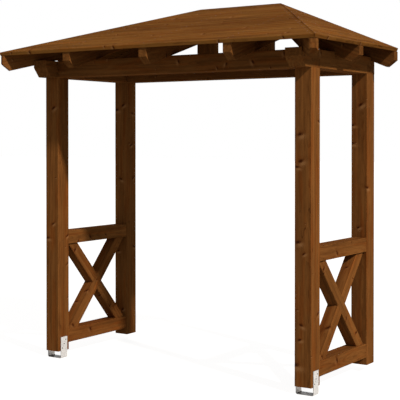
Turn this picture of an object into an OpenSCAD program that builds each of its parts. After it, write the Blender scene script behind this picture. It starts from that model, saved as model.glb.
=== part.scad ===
// Wooden door canopy: a three-sided hip roof on four posts, fixed to a house wall at its back.
// Millimetres. +X to the right, +Y towards the wall, +Z up.
// The origin is on the wall face: the centre of the rear beam's back face.

/* [Overall] */
// Width over the posts
frame_w = 2224; // [1600:2:3600]
// Depth from the front of the front posts to the wall
frame_d = 955; // [800:5:1600]
// Length of the posts, up to the underside of the beams
post_l = 2034; // [1900:2:2500]

/* [Posts and beams] */
// Side of the square posts
post_w = 120; // [90:5:160]
// Height of the four beams
beam_h = 120; // [90:5:180]
// How far the side beams run out in front of the posts
beam_nose = 130; // [70:1:200]
// Height of the upright end face left on a beam's nose
nose_face = 53; // [10:1:80]
// Length of the sloping cut under a beam's nose
nose_cut = 54; // [20:1:60]
// Width of the eased edges along posts, beams, rails, braces and the undersides of rafters
ease = 3; // [1:0.5:6]

/* [Side frames] */
// Thickness of the rails, centred on the posts
rail_t = 110; // [60:5:110]
// Height of the rails
rail_h = 98; // [60:2:160]
// Height of the lower rail above the posts' feet
low_rail_z = 51; // [0:1:200]
// Height of the upper rail above the posts' feet
top_rail_z = 792; // [600:2:1100]
// Thickness of the crossed braces, centred on the posts
brace_t = 82; // [40:2:100]
// Width of the crossed braces
brace_w = 80; // [60:2:110]
// Space left between the braces' ends and the posts
brace_gap = 15; // [2:1:40]

/* [Roof] */
// Pitch of the front slope in degrees
front_pitch = 16.75; // [12:0.05:25]
// Overhang of the roof in front of the front posts
front_overhang = 306; // [200:1:450]
// Overhang of the roof beside the posts
side_overhang = 180; // [120:1:300]
// Half of the ridge's length
ridge_half = 355; // [320:1:500]
// Thickness of the roof boards, measured plumb
deck_t = 27; // [16:1:30]
// Width of the rafters
rafter_w = 60; // [45:5:80]
// Depth of the rafters, square to their slope
rafter_h = 120; // [100:5:160]
// Depth of the seat cut where the front rafters sit on the front beam
seat_cut = 3; // [2:1:20]
// Height of the plumb face at a rafter's end
rafter_face = 60; // [30:1:75]
// Length of the sloping cut behind that face
rafter_cut = 61; // [20:1:90]
// How far the boards run past the ends of the front rafters
front_lip = 14; // [0:1:40]
// How far the boards run past the ends of the side rafters
side_lip = 5; // [0:1:40]
// How far the roof's corner runs past the ends of the hip rafters
hip_lip = 17; // [0:1:40]
// Distance from the middle rafter to the rafters beside it
rafter_step = 664; // [550:2:720]
// Distance of the side rafters from the wall
side_rafter_y = 595; // [450:1:700]

/* [Ridge] */
// How far the ridge posts stand in from the ridge's ends
ridge_post_inset = 44; // [0:2:100]
// Height of the ridge beam at its front face
ridge_h = 120; // [80:5:160]

/* [Post shoes] */
// Clear space under the posts' end grain
shoe_gap = 50; // [20:1:100]
// Height that a shoe's legs cover on the post
shoe_leg = 104; // [96:1:160]
// Width of a shoe
shoe_w = 70; // [60:2:90]
// Thickness of the shoe's plate
shoe_t = 4; // [3:0.5:6]
// Inner radius of the shoe's two bends
shoe_bend = 8; // [4:1:16]
// Diameter of the screw holes in the legs
screw_d = 10; // [6:0.5:12]
// Diameter of the nail holes between them
nail_d = 5; // [3:0.5:6]
// Height of the lowest screw hole above the post's foot
hole_z = 21; // [12:1:24]
// Rise from one screw hole to the next
hole_rise = 30; // [26:1:34]
// Step across the leg from one screw hole to the next
hole_step = 18; // [14:1:20]
// Diameter of the anchor hole in the base
anchor_d = 12; // [8:1:16]

/* [Hidden] */
// What a cutting solid runs past the surface that it opens
eps = 1;

half_w = frame_w / 2;
post_x = half_w - post_w / 2;
rear_y = frame_d - post_w;
beam_top = post_l + beam_h;

// Roof planes: heights are taken at the underside of the boards
roof_d = front_overhang + frame_d;
front_slope = tan(front_pitch);
eave_x = half_w + side_overhang;
eave_z = beam_top - seat_cut + rafter_h / cos(front_pitch) - front_overhang * front_slope;
ridge_z = eave_z + roof_d * front_slope;
ridge_front_z = ridge_z - post_w * front_slope;
side_run = eave_x - ridge_half;
side_slope = (ridge_z - eave_z) / side_run;
hip_run = sqrt(pow(side_run, 2) + pow(roof_d, 2));
hip_slope = (ridge_z - eave_z) / hip_run;
hip_angle = atan2(roof_d, side_run);

wood = "saddlebrown";
wood_light = "peru";
steel = "silver";

// Moves the frame, laid out from the foot of the front posts, to the origin on the wall
module placed() translate([0, -frame_d, -(post_l + beam_h / 2)]) children();

// side is -1 for the left and 1 for the right
module mirrored(side) mirror([side < 0 ? 1 : 0, 0, 0]) children();

// Extrudes an outline drawn in (y, z) along X, centred on x
module along_x(x, w) translate([x - w / 2, 0, 0]) rotate([90, 0, 90]) linear_extrude(w) children();

// Extrudes an outline drawn in (x, z) along Y, from y
module along_y(y, w) translate([0, y + w, 0]) rotate([90, 0, 0]) linear_extrude(w) children();

// Section of a timber w by h with its four edges eased, centred across and standing on its base
module eased(w, h) polygon([
    [ease - w / 2, 0], [w / 2 - ease, 0], [w / 2, ease], [w / 2, h - ease],
    [w / 2 - ease, h], [ease - w / 2, h], [-w / 2, h - ease], [-w / 2, ease]]);

// ---- Posts ----
module post(side, y) color(wood) placed()
    translate([side * post_x, y + post_w / 2, 0])
        linear_extrude(post_l) translate([0, -post_w / 2]) eased(post_w, post_w);

// ---- Beams: half-lapped at the corners, the side beams over the front and rear ones ----
module cross_beam(y) color(wood) placed() difference() {
    along_x(0, frame_w) translate([y + post_w / 2, post_l]) eased(post_w, beam_h);
    for (side = [-1, 1])
        translate([side * (post_x + eps / 2), y + post_w / 2, post_l + beam_h])
            cube([post_w + eps, post_w + 2 * eps, beam_h], center = true);
}

module side_beam(side) color(wood) placed() mirrored(side) difference() {
    intersection() {
        along_x(post_x, post_w) polygon([
            [-beam_nose, beam_top], [-beam_nose, beam_top - nose_face], [-beam_nose + nose_cut, post_l],
            [frame_d, post_l], [frame_d, beam_top]]);
        along_y(-beam_nose, beam_nose + frame_d) translate([post_x, post_l]) eased(post_w, beam_h);
    }
    for (y = [0, rear_y])
        translate([post_x - post_w, y, post_l - beam_h / 2])
            cube([2 * post_w, post_w + (y > 0 ? eps : 0), beam_h]);
}

// ---- Side frames ----
bay_d = rear_y - post_w;
bay_z = low_rail_z + rail_h;
bay_h = top_rail_z - bay_z;
cross_d = bay_d - 2 * brace_gap;
// Length of a brace's foot on the rail: brace_w is measured square to a brace that climbs bay_h
// while it runs cross_d less this foot
brace_foot = brace_w * (sqrt(pow(bay_h, 2) + pow(cross_d, 2) - pow(brace_w, 2)) * bay_h - brace_w * cross_d)
    / (pow(bay_h, 2) - pow(brace_w, 2));
brace_angle = atan2(bay_h, cross_d - brace_foot);

module rail(side, z) color(wood) placed()
    along_y(post_w, bay_d) translate([side * post_x, z]) eased(rail_t, rail_h);

// Outline of a brace in (y, z); a falling one mirrors the rising one within the bay
module brace_outline(rising) translate([rising ? 0 : post_w + rear_y, 0]) mirror([rising ? 0 : 1, 0])
    translate([post_w + brace_gap, bay_z]) polygon([
        [0, 0], [brace_foot, 0], [cross_d, bay_h], [cross_d - brace_foot, bay_h]]);

// A bar with eased edges that follows the brace and runs past both of its ends
module brace_bar(rising) translate([0, rising ? 0 : post_w + rear_y, 0]) mirror([0, rising ? 0 : 1, 0])
    translate([0, post_w + brace_gap + brace_foot, bay_z]) rotate([brace_angle, 0, 0])
        along_y(-brace_w, 2 * top_rail_z) translate([post_x, 0]) eased(brace_t, brace_w);

// The falling brace keeps its outer half at the crossing, the rising one its inner half
module brace(side, rising) color(wood_light) placed() mirrored(side) difference() {
    intersection() {
        along_x(post_x, post_w) translate([post_w, bay_z]) square([bay_d, bay_h]);
        brace_bar(rising);
    }
    along_x(post_x + (rising ? 1 : -1) * brace_t / 2, brace_t) brace_outline(!rising);
}

// ---- Roof timbers ----
// Side of a rafter whose top climbs to the right from height 0: plumb face, sloping cut, and then
// far enough below the underside for rafter_bar to shape that
function rafter_points(slope, depth, run, lip) = [
    [lip, lip * slope], [lip, lip * slope - rafter_face],
    [lip + 2 * rafter_cut, (lip + 2 * rafter_cut) * slope + rafter_face - 2 * depth],
    [run, run * slope - 2 * depth], [run, run * slope]];

// A bar along +X whose underside is rafter_h below the rafter's top, with its lower edges eased
module rafter_bar(slope) rotate([0, -atan(slope), 0])
    along_x(frame_w, 4 * frame_w) translate([0, -rafter_h]) eased(rafter_w, 2 * rafter_h);

// A rafter that climbs along +X from the roof's edge at the origin
module rafter(slope, run, lip) intersection() {
    along_y(-rafter_w, 2 * rafter_w) polygon(
        rafter_points(slope, rafter_h * sqrt(1 + pow(slope, 2)), run, lip));
    rafter_bar(slope);
}

module front_rafter(x) difference() {
    translate([x, -front_overhang, eave_z]) rotate(90)
        rafter(front_slope, front_overhang + rear_y, front_lip);
    along_x(x, 2 * rafter_w) translate([0, post_l]) square([post_w, beam_h]);
}

// A rafter of the side slope, from the eave to the ridge line, with its near face at y
module side_slope_rafter(y) difference() {
    translate([eave_x, y + rafter_w / 2, eave_z]) rotate(180) rafter(side_slope, side_run, side_lip);
    along_y(y - eps, rafter_w + 2 * eps) translate([half_w - post_w, post_l]) square([post_w, beam_h]);
}

// All that lies beyond the hip rafter's near cheek. In plan the front slope is to the left of the
// hip's run, seen from the eave corner, and the side slope to its right.
module beyond_hip(from_front) {
    translate([eave_x, -front_overhang, -eps]) rotate(180 - hip_angle)
        translate([-frame_w, from_front ? rafter_w / 2 - 2 * frame_w : -rafter_w / 2, 0])
            cube([3 * frame_w, 2 * frame_w, 2 * ridge_z]);
}

module middle_rafter() color(wood) placed() front_rafter(0);

module jack_rafter(side) color(wood) placed() mirrored(side) difference() {
    front_rafter(rafter_step);
    beyond_hip(true);
}

module side_rafter(side) color(wood) placed() mirrored(side) difference() {
    side_slope_rafter(frame_d - side_rafter_y - rafter_w / 2);
    beyond_hip(false);
}

module wall_rafter(side) color(wood) placed() mirrored(side)
    side_slope_rafter(frame_d - rafter_w);

// The hip rafter is backed: its top is planed to the two slopes that meet over it
module under_slopes() intersection() {
    along_x(0, 3 * frame_w) polygon([
        [-front_overhang, 0], [frame_d, 0], [frame_d, ridge_z], [-front_overhang, eave_z]]);
    along_y(-front_overhang, roof_d) polygon([
        [ridge_half, 0], [eave_x, 0], [eave_x, eave_z], [ridge_half, ridge_z]]);
}

module hip_rafter(side) color(wood) placed() mirrored(side) difference() {
    intersection() {
        translate([eave_x, -front_overhang, eave_z]) rotate(180 - hip_angle)
            rafter(hip_slope, hip_run, hip_lip);
        under_slopes();
    }
    translate([0, frame_d - rafter_w, 0]) cube([frame_w, frame_w, 2 * ridge_z]);
    translate([half_w - post_w, -beam_nose - eps, post_l]) cube([post_w, frame_d, beam_h]);
    translate([0, 0, post_l]) cube([half_w, post_w, beam_h]);
}

// ---- Ridge: a beam on two short posts, its top planed to the front slope ----
module ridge_post(side) color(wood) placed()
    translate([side * (ridge_half - ridge_post_inset - post_w / 2), rear_y, beam_top])
        linear_extrude(ridge_front_z - ridge_h - beam_top) eased(post_w, post_w);

module ridge_beam() color(wood) placed()
    along_x(0, 2 * ridge_half) polygon([
        [rear_y, ridge_front_z - ridge_h], [frame_d, ridge_front_z - ridge_h],
        [frame_d, ridge_z], [rear_y, ridge_front_z]]);

// ---- Roof boards, one sheet a slope, cut square along the eaves and mitred along the hips ----
// How far a square edge's lower corner lies behind its upper one
function square_cut(slope) = deck_t * slope / (1 + pow(slope, 2));

module roof_front() color(wood_light) placed() intersection() {
    along_x(0, 2 * eave_x) polygon([
        [square_cut(front_slope) - front_overhang, eave_z + square_cut(front_slope) * front_slope],
        [frame_d, ridge_z], [frame_d, ridge_z + deck_t], [-front_overhang, eave_z + deck_t]]);
    linear_extrude(2 * ridge_z) polygon([
        [-eave_x, -front_overhang], [eave_x, -front_overhang], [ridge_half, frame_d], [-ridge_half, frame_d]]);
}

module roof_side(side) color(wood_light) placed() mirrored(side) intersection() {
    along_y(-front_overhang, roof_d) polygon([
        [eave_x - square_cut(side_slope), eave_z + square_cut(side_slope) * side_slope],
        [ridge_half, ridge_z], [ridge_half, ridge_z + deck_t], [eave_x, eave_z + deck_t]]);
    linear_extrude(2 * ridge_z) polygon([
        [eave_x, -front_overhang], [eave_x, frame_d], [ridge_half, frame_d]]);
}

// ---- Post shoes: a strip bent up against two sides of the post ----
// A square-topped upright outline w wide whose two lower corners are rounded
module round_bottomed(w, h, r) {
    translate([-w / 2, r]) square([w, h - r]);
    translate([r - w / 2, 0]) square([w - 2 * r, 2 * r]);
    for (end = [-1, 1]) translate([end * (w / 2 - r), r]) circle(r, $fn = 64);
}

module shoe_strip() rotate([90, 0, 0]) linear_extrude(shoe_w, center = true) difference() {
    translate([0, -shoe_t])
        round_bottomed(post_w + 2 * shoe_t, shoe_t + shoe_gap + shoe_leg, shoe_bend + shoe_t);
    round_bottomed(post_w, 2 * (shoe_gap + shoe_leg), shoe_bend);
}

// Holes in both legs along one diagonal, nail holes halfway between the screw holes
module leg_holes() for (i = [-1:0.5:1])
    translate([0, i * hole_step, shoe_gap + hole_z + (i + 1) * hole_rise]) rotate([0, 90, 0])
        cylinder(d = i == floor(i) ? screw_d : nail_d, h = 2 * post_w, center = true, $fn = 32);

module post_shoe(side) color(steel) placed()
    translate([side * post_x, post_w / 2, -shoe_gap]) difference() {
        shoe_strip();
        leg_holes();
        translate([0, 0, -2 * shoe_t]) cylinder(d = anchor_d, h = 3 * shoe_t, $fn = 48);
    }

post(-1, 0);  // post_front_left
post(1, 0);  // post_front_right
post(-1, rear_y);  // post_rear_left
post(1, rear_y);  // post_rear_right
cross_beam(0);  // beam_front
cross_beam(rear_y);  // beam_rear
side_beam(-1);  // beam_left
side_beam(1);  // beam_right
rail(-1, top_rail_z);  // top_rail_left
rail(1, top_rail_z);  // top_rail_right
rail(-1, low_rail_z);  // low_rail_left
rail(1, low_rail_z);  // low_rail_right
brace(-1, true);  // brace_rising_left
brace(-1, false);  // brace_falling_left
brace(1, true);  // brace_rising_right
brace(1, false);  // brace_falling_right
ridge_post(-1);  // ridge_post_left
ridge_post(1);  // ridge_post_right
ridge_beam();
hip_rafter(-1);  // hip_rafter_left
hip_rafter(1);  // hip_rafter_right
wall_rafter(-1);  // wall_rafter_left
wall_rafter(1);  // wall_rafter_right
middle_rafter();  // rafter_middle
jack_rafter(-1);  // rafter_left
jack_rafter(1);  // rafter_right
side_rafter(-1);  // side_rafter_left
side_rafter(1);  // side_rafter_right
roof_front();
roof_side(-1);  // roof_left
roof_side(1);  // roof_right
post_shoe(-1);  // post_shoe_left
post_shoe(1);  // post_shoe_right
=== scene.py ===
"""Finish of a wooden door canopy: glazed spruce timbers and roof boards, zinc-coated shoes, nails
darkened under the glaze, screws whose dark heads are painted shade in the shoes' holes, and a plain
stage."""

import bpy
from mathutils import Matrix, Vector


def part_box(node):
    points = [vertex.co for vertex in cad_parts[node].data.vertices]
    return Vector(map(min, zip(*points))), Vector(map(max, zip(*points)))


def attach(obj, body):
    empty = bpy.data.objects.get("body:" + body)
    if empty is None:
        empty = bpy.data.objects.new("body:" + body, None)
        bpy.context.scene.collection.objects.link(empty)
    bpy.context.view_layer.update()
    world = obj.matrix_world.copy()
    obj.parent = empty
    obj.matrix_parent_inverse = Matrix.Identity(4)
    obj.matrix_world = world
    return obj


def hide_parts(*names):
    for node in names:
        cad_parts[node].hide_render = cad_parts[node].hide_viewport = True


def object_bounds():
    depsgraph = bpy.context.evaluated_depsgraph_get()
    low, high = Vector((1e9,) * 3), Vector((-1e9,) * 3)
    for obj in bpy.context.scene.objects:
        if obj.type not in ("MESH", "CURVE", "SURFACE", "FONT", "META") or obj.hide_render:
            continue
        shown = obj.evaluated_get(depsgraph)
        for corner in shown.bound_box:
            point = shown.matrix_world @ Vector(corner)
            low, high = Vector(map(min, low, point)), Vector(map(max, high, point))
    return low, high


bl_info = {
    "name": "Wooden door canopy",
    "version": (1, 0, 0),
    "blender": (4, 5, 0),
    "location": "View3D > Sidebar > Canopy",
    "description": "Boards, nails, screws, timber and metal finishes and a plain stage",
    "category": "Add Mesh",
}

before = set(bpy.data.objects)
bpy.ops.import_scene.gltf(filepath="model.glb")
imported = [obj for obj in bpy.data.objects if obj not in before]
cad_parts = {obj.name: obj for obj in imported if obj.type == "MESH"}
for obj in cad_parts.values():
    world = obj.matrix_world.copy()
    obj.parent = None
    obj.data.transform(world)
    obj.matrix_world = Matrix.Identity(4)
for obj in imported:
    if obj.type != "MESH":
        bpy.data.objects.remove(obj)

import math
from functools import partialmethod

import bpy
import numpy as np
from bpy.props import FloatProperty, FloatVectorProperty
from mathutils import Matrix, Vector

CAD_BOX = [list(map(float, corner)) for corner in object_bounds()]

# The frame's pieces: the steel shoes, the roof sheets that the boards replace, and all the timbers
METAL_NODES = ("post_shoe_left", "post_shoe_right")
ROOF_NODES = ("roof_front", "roof_left", "roof_right")
TIMBER_NODES = tuple(sorted(set(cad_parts) - set(METAL_NODES) - set(ROOF_NODES)))
UP = Vector((0, 0, 1))
SIDE_COSINE = 0.12  # a face is a side face where its normal's cosine with the grain is below this
UPRIGHT_COSINE = 0.9  # a timber is upright where its grain's cosine with the vertical is at least this

# Knots that show, besides those that come by chance: height from the timber's middle along its grain,
# turn about the grain in degrees, and radius. In upright timbers turn 0 is to the right and -90 to the
# front. In the others 0 is level, square to the grain, and 90 is below.
FEATURE_KNOTS = {
    "post_front_right": (
        (0.59, -110, 0.012), (0.42, -105, 0.012), (0.39, -125, 0.008), (-0.10, -120, 0.011),
        (-0.17, -85, 0.007), (-0.62, -100, 0.009), (-0.72, -110, 0.008), (-0.89, -133, 0.014),
        (0.68, 35, 0.008), (-0.56, 30, 0.010)),
    "post_front_left": (
        (0.79, -75, 0.011), (-0.07, -80, 0.008), (-0.17, -125, 0.009), (-0.17, 35, 0.008),
        (-0.38, 35, 0.007)),
    "post_rear_right": (
        (0.80, -80, 0.012), (-0.06, -95, 0.008), (0.23, -42, 0.009), (0.65, -130, 0.008),
        (0.52, -132, 0.009)),
    "post_rear_left": (
        (0.83, -70, 0.010), (0.79, -125, 0.011), (0.24, -90, 0.009), (-0.35, -115, 0.008),
        (-0.82, -75, 0.008), (0.77, 10, 0.008), (0.51, -5, 0.009), (0.24, 20, 0.008),
        (-0.31, 30, 0.009)),
    "brace_falling_right": ((0.38, 155, 0.010), (-0.12, 163, 0.008), (-0.32, -155, 0.010)),
    "brace_falling_left": (
        (0.38, 155, 0.010), (-0.12, 119, 0.009), (-0.31, -138, 0.009), (-0.26, 153, 0.007)),
    "brace_rising_right": (
        (0.015, -12, 0.005), (-0.21, -57, 0.010), (-0.42, -20, 0.008), (0.28, -88, 0.006)),
    "brace_rising_left": (
        (0.015, -12, 0.005), (-0.22, -115, 0.009), (-0.42, -20, 0.009), (-0.115, -58, 0.010)),
    "low_rail_right": ((-0.10, -15, 0.010),),
    "low_rail_left": ((-0.10, -15, 0.010),),
    "top_rail_right": ((-0.10, 15, 0.010),),
    "top_rail_left": ((0.09, 15, 0.005), (-0.10, 15, 0.010), (-0.24, 35, 0.008)),
    "beam_front": ((0.91, -30, 0.007), (0.68, 10, 0.009), (0.48, 15, 0.007), (0.09, -15, 0.008)),
    "beam_right": ((0.48, -10, 0.007), (-0.29, -35, 0.008)),
}
PLACED_LEANS = (0.45, 0.45, -0.25)  # how steeply these knots rise outwards, taken in turn
# How much lighter (above 0) and how much redder a timber's wood is than the rest's, and for some how
# much lighter still its right-hand face is, a painted highlight on the side that the lamp lights
WOOD_TONES = {
    "top_rail_left": (0.17, 0), "top_rail_right": (-0.02, 0.05),
    "low_rail_left": (-0.06, 0.35), "low_rail_right": (0, 0.15),
    "brace_falling_left": (-0.18, 0.1), "brace_falling_right": (0.17, 0),
    "brace_rising_left": (0, 0.15), "brace_rising_right": (0, 0.2),
    "post_front_left": (-0.03, 0.15), "post_front_right": (-0.04, 0.12, 0.14),
    "post_rear_right": (-0.13, 0.15, 0.10),
    # Painted shade of the roof: the timbers under it with redness -0.3 are painted less red, and
    # beam_rear, the side and wall rafters and the ridge posts darker as well
    "beam_left": (0, -0.3), "beam_right": (0.05, -0.3), "hip_rafter_right": (-0.15, 0),
    "rafter_left": (0, -0.3), "rafter_middle": (0.08, -0.3), "rafter_right": (-0.07, -0.3),
    **dict.fromkeys(("beam_rear", "side_rafter_left", "side_rafter_right", "wall_rafter_left",
                     "wall_rafter_right"), (-0.25, -0.3)),
    **dict.fromkeys(("ridge_post_left", "ridge_post_right"), (-0.15, -0.3)),
}
# Three layers of knots by chance, each with its shares of the knot spacing and of the knot radius
WHORLS = ((1.0, 1.0), (0.61, 0.62), (0.37, 0.42))
WHORL_SEED = 0.37  # what each layer adds to the timber's seed
BESIDE_PLACED = 0.6  # size of the knots by chance in a timber that also has placed ones
SLIM_PALE = 0.35  # how much of the pale wood beside knots rails and braces show

MIDDLE = 0.5  # tone halfway between the dark glaze and the bright one
# The sine of a piece's number, times a figure that differs from use to use, serves as its chance
TIMBER_SPREAD = 0.07  # how far a timber's tone lies above or below the middle at most
BOARD_SPREAD = 0.08  # the same of a roof board
PITH_OFF = 0.045  # how far a timber's pith lies from its middle at most, each way
PITH_SPREAD = 0.03  # how far to either side a board's growth rings are moved at most

# Roof boards: where along its pattern each slope starts, and how far each board moves on from the last
PATTERN_START = {"front": 155, "left": 124, "right": 155}
PATTERN_STEP = 1.7
BOARD_SEED = 40
END_TONE = -0.26  # tone added where the boards' ends drink more glaze
# Painted highlight: the front eave's square edge is painted lighter, as the lamp falls on it
EAVE_HIGHLIGHT = 0.45  # tone added in the front eave's square edge
SOAKED = 0.014  # length of a board's end that drinks more glaze
MITRE = 0.0016  # by how much a board's ends stand back from the hip's plane or the wall's
TONGUE_SHARES = (0.36, 0.64)  # where the tongue begins and ends in the board's thickness
SLACK = 0.0004  # room round the tongue in its groove
# Knots in the front eave's square edge, at turn 172 about the lowest board's grain
EAVE_KNOTS = tuple((PATTERN_START["front"] + x, 172, radius) for x, radius in (
    (-1.01, 0.010), (-0.25, 0.009), (0.62, 0.006), (1.06, 0.007)))

NAIL_INSET = 0.028  # distance of the outermost nails from a board's ends
SCREWS = 3  # in each leg of a shoe
HEAD_SHARE = 0.82  # share of the leg's thickness that the screws' heads fill
# Grey of the floor for the light that it gives back, and what the camera sees of it: a diffuse share,
# which keeps the canopy's shadow, on top of plain white
FLOOR_GREY, FLOOR_SHOWN, FLOOR_WHITE = 0.34, 0.075, 0.9
SENSOR = 36  # width of the camera's sensor in millimetres
SIGHT = 200  # how far the camera sees, in metres


# ---- Sizes and finishes --------------------

class CanopyTimberSettings(bpy.types.PropertyGroup):
    """Stain, growth rings and knots of the spruce."""

    glaze: FloatVectorProperty(
        name="Glaze", description="Brown of a freshly glazed face", subtype="COLOR",
        default=(0.292, 0.107, 0.0245), min=0, max=1)
    glaze_dark: FloatVectorProperty(
        name="Dark glaze", description="Brown where the wood drinks more glaze", subtype="COLOR",
        default=(0.134, 0.046, 0.0108), min=0, max=1)
    knot_colour: FloatVectorProperty(
        name="Knots", description="Colour of the knots under the glaze", subtype="COLOR",
        default=(0.040, 0.007, 0.002), min=0, max=1)
    glaze_boards: FloatVectorProperty(
        name="Board glaze", description="Golden brown of the roof boards", subtype="COLOR",
        default=(0.306, 0.118, 0.0230), min=0, max=1)
    dark_boards: FloatVectorProperty(
        name="Dark board glaze", description="Brown where the boards drink more glaze", subtype="COLOR",
        default=(0.054, 0.0148, 0.0024), min=0, max=1)
    halo_colour: FloatVectorProperty(
        name="Beside knots", description="Pale wood that swells beside a knot", subtype="COLOR",
        default=(0.400, 0.175, 0.058), min=0, max=1)
    gloss: FloatProperty(
        name="Gloss", description="Mirror share of the thin, matt glaze", default=0.002, min=0, max=1)
    ring_width: FloatProperty(
        name="Ring width", description="Distance between two growth rings", unit="LENGTH",
        default=0.0042, min=0.001, max=0.01)
    knot_spacing: FloatProperty(
        name="Knot spacing", description="Distance between two whorls of knots", unit="LENGTH",
        default=0.42, min=0.1, max=2)
    knot_radius: FloatProperty(
        name="Knot radius", description="Radius of the largest common knots", unit="LENGTH",
        default=0.009, min=0.002, max=0.03)


class CanopyRoofSettings(bpy.types.PropertyGroup):
    """Tongued and grooved boards, laid along the eaves."""

    cover: FloatProperty(
        name="Board cover", description="Width that one board covers up the slope", unit="LENGTH",
        default=0.133, min=0.08, max=0.2)
    deck: FloatProperty(
        name="Board thickness", description="Thickness of the boards, measured plumb", unit="LENGTH",
        default=0.027, min=0.016, max=0.03)
    joint_gap: FloatProperty(
        name="Joint", description="Open joint between two boards over the tongue", unit="LENGTH",
        default=0.0016, min=0, max=0.004)
    groove: FloatProperty(
        name="Eased joint", description="Width of the bevel along each board's edges", unit="LENGTH",
        default=0.0028, min=0.001, max=0.008)
    tongue: FloatProperty(
        name="Tongue", description="Length of the tongue", unit="LENGTH",
        default=0.008, min=0.003, max=0.012)
    nail_radius: FloatProperty(
        name="Nail head radius", description="Radius of the boards' nail heads", unit="LENGTH",
        default=0.0035, min=0.002, max=0.006)


class CanopyMetalSettings(bpy.types.PropertyGroup):
    """Zinc coat of the shoes, dark steel of the nails and of the screws, whose heads are painted shade
    in the shoes' holes, and where the screws sit.
    """

    zinc: FloatVectorProperty(
        name="Zinc", description="Colour of the bright zinc crystals", subtype="COLOR",
        default=(0.88, 0.815, 0.735), min=0, max=1)
    zinc_dull: FloatVectorProperty(
        name="Dull zinc", description="Colour of the duller crystals", subtype="COLOR",
        default=(0.67, 0.63, 0.58), min=0, max=1)
    # Dark steel colour, also used as painted shade on the shoes' upper faces
    bare_and_shade: FloatVectorProperty(
        name="Bare steel and shade", description="Colour of the strip's cut edges and stains", subtype="COLOR",
        default=(0.055, 0.060, 0.060), min=0, max=1)
    # Nail heads darkened under the glaze; on the screw heads these colours are painted shade in the
    # holes
    stain_and_shade: FloatVectorProperty(
        name="Stained and shaded heads", description="Colour of screw and nail heads under the glaze",
        subtype="COLOR", default=(0.075, 0.034, 0.016), min=0, max=1)
    dark_stain_and_shade: FloatVectorProperty(
        name="Worn and shaded heads", description="Darker steel where the glaze is thin", subtype="COLOR",
        default=(0.030, 0.017, 0.010), min=0, max=1)
    screw_radius: FloatProperty(
        name="Screw head radius", description="Radius of the heads in the shoes' holes", unit="LENGTH",
        default=0.0046, min=0.003, max=0.005)
    screw_height: FloatProperty(
        name="First screw", description="Height of the lowest screw above the shoe's underside",
        unit="LENGTH", default=0.075, min=0.06, max=0.12)
    screw_rise: FloatProperty(
        name="Screw rise", description="Height between two screws", unit="LENGTH", default=0.030,
        min=0.01)
    screw_step: FloatProperty(
        name="Screw step", description="Distance that a screw stands beside the one below it",
        unit="LENGTH", default=0.018, min=0)
    leg_thickness: FloatProperty(
        name="Shoe leg", description="Thickness of the shoe's legs", unit="LENGTH", default=0.004,
        min=0.002)
    crystal: FloatProperty(
        name="Crystal size", description="Width of one zinc crystal", unit="LENGTH",
        default=0.009, min=0.002, max=0.03)


class CanopyStageSettings(bpy.types.PropertyGroup):
    """Floor, light and camera."""

    floor_half: FloatProperty(
        name="Floor", description="Half the side of the floor", unit="LENGTH", default=60, min=5)
    lamp_towards: FloatVectorProperty(
        name="Lamp", description="Direction from the canopy to the lamp", subtype="DIRECTION",
        default=(0.7334, -0.2815, 0.6188))
    lamp_strength: FloatProperty(
        name="Lamp strength", description="Strength of the lamp", default=2.6, min=0)
    lamp_angle: FloatProperty(
        name="Lamp size", description="Angle that the lamp fills, seen from the canopy",
        subtype="ANGLE", default=math.radians(2.5), min=0)
    back_towards: FloatVectorProperty(
        name="Back lamp", description="Direction from the canopy to the soft lamp behind it",
        subtype="DIRECTION", default=(-0.55, 0.75, 0.37))
    back_strength: FloatProperty(
        name="Back lamp strength", description="Strength of the lamp behind the canopy", default=0.8,
        min=0)
    back_angle: FloatProperty(
        name="Back lamp size", description="Angle that the back lamp fills, seen from the canopy",
        subtype="ANGLE", default=math.radians(35), min=0)
    sky: FloatVectorProperty(
        name="Fill light", description="Light from all around, a little cooler than the lamp's",
        subtype="COLOR", default=(0.25, 0.285, 0.335), min=0, max=1)
    eye: FloatVectorProperty(
        name="Camera", description="Place of the camera", subtype="XYZ", unit="LENGTH",
        default=(4.2226, -6.9236, -0.5072))
    heading: FloatProperty(
        name="Heading", description="Turn of the camera from looking at the wall, to the left",
        subtype="ANGLE", default=math.radians(33.506))
    tilt: FloatProperty(
        name="Tilt", description="How far the camera looks up", subtype="ANGLE",
        default=math.radians(-0.6495))
    lens: FloatProperty(
        name="Lens", description="Focal length in millimetres", default=95.45, min=10)
    shift: FloatVectorProperty(
        name="Shift", description="Shift of the lens, as shares of the frame's side", size=2,
        default=(-0.0008, -0.125))


# ---- Shader nodes --------------------

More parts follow.
